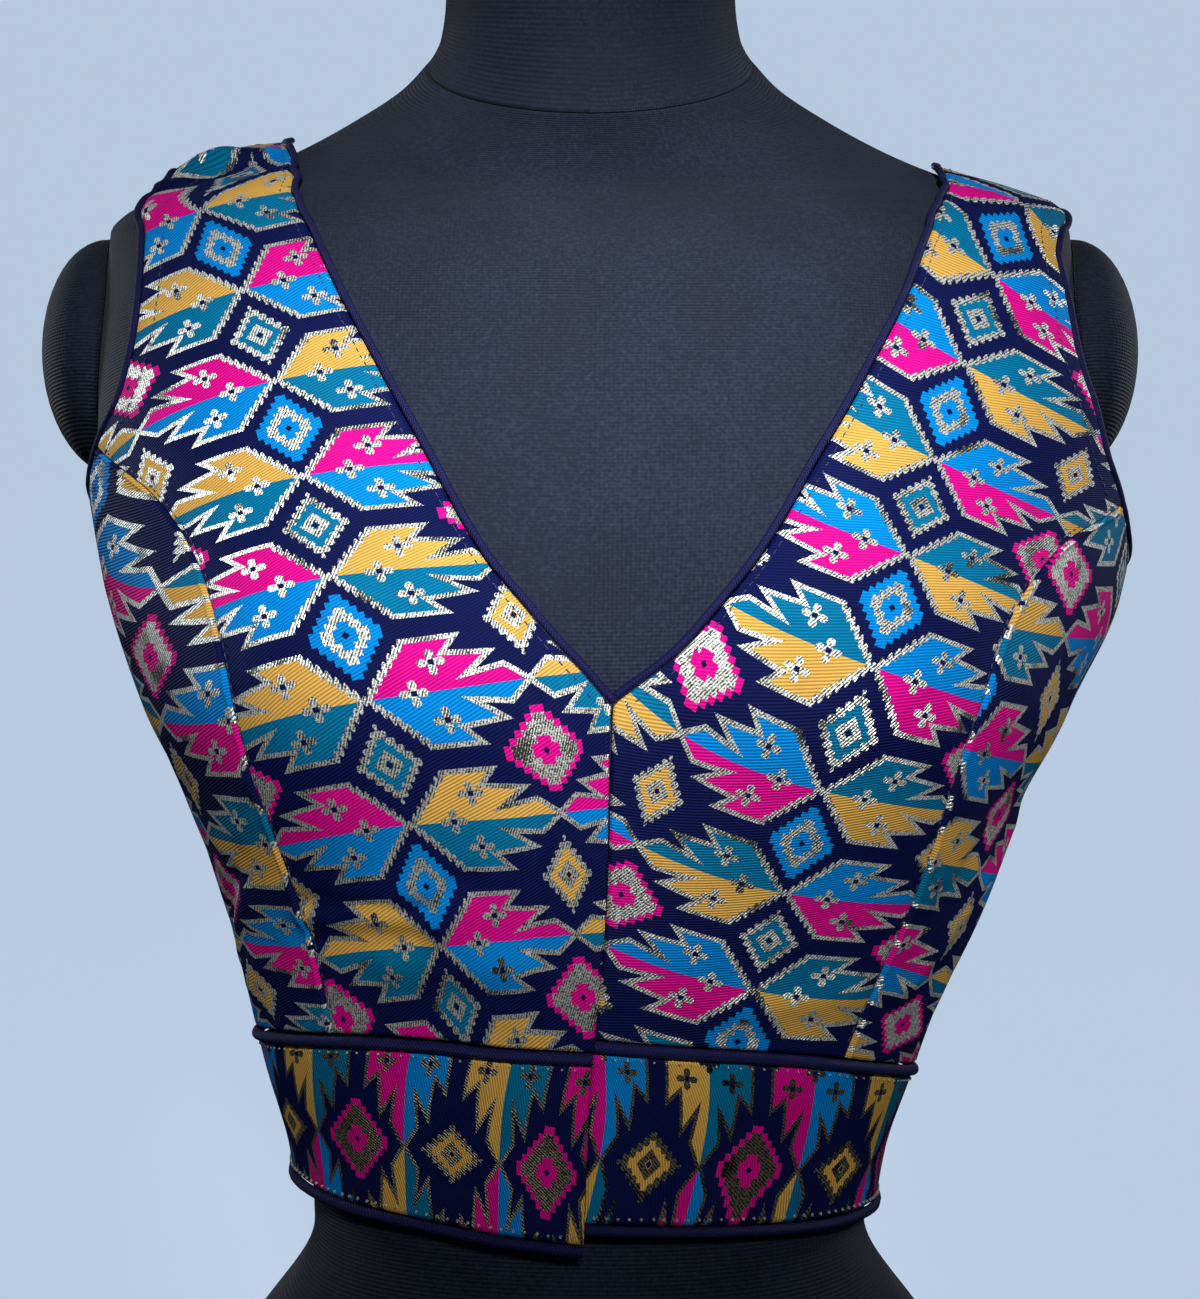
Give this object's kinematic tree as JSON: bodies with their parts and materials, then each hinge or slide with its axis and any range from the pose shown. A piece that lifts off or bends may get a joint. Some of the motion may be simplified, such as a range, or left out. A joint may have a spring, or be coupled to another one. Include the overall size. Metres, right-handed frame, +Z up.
{
  "type": "choli blouse on a dress form",
  "caption": "Sleeveless V-necked choli blouse of patterned brocade with navy corded piping and a waistband, lapped at the front, on a limbless dress form.",
  "frame": {"origin": "centre of the dress form's flat base, on its underside", "axes": "+Z up along the form, -Y the way the blouse's front faces, +X to the wearer's left"},
  "size_m": [0.381, 0.2353, 0.6],
  "materials": {
    "brocade": "satin twill brocade with raised metallic thread, in navy, pink, blue, teal and mustard",
    "brocade_turned": "the same brocade turned a quarter turn",
    "plain_navy": "matte",
    "jersey": "ribbed, matte"
  },
  "bodies": {
    "root": {"form_torso": "jersey", "form_neck": "jersey", "form_cap_right": "jersey", "form_cap_left": "jersey", "front_center_right": "brocade", "front_center_left": "brocade", "front_side_right": "brocade", "front_side_left": "brocade", "back": "brocade", "eye_placket_left": "plain_navy", "waistband_front_right": "brocade_turned", "waistband_front_left": "brocade_turned", "waistband_back": "brocade_turned", "neck_piping_front_right": "plain_navy", "neck_piping_front_left": "plain_navy", "neck_piping_back": "plain_navy", "armhole_piping_right": "plain_navy", "armhole_piping_left": "plain_navy", "waist_piping_front_right": "plain_navy", "waist_piping_front_left": "plain_navy", "waist_piping_back": "plain_navy", "hem_piping_front_right": "plain_navy", "hem_piping_front_left": "plain_navy", "hem_piping_back": "plain_navy"}
  },
  "joints": []
}
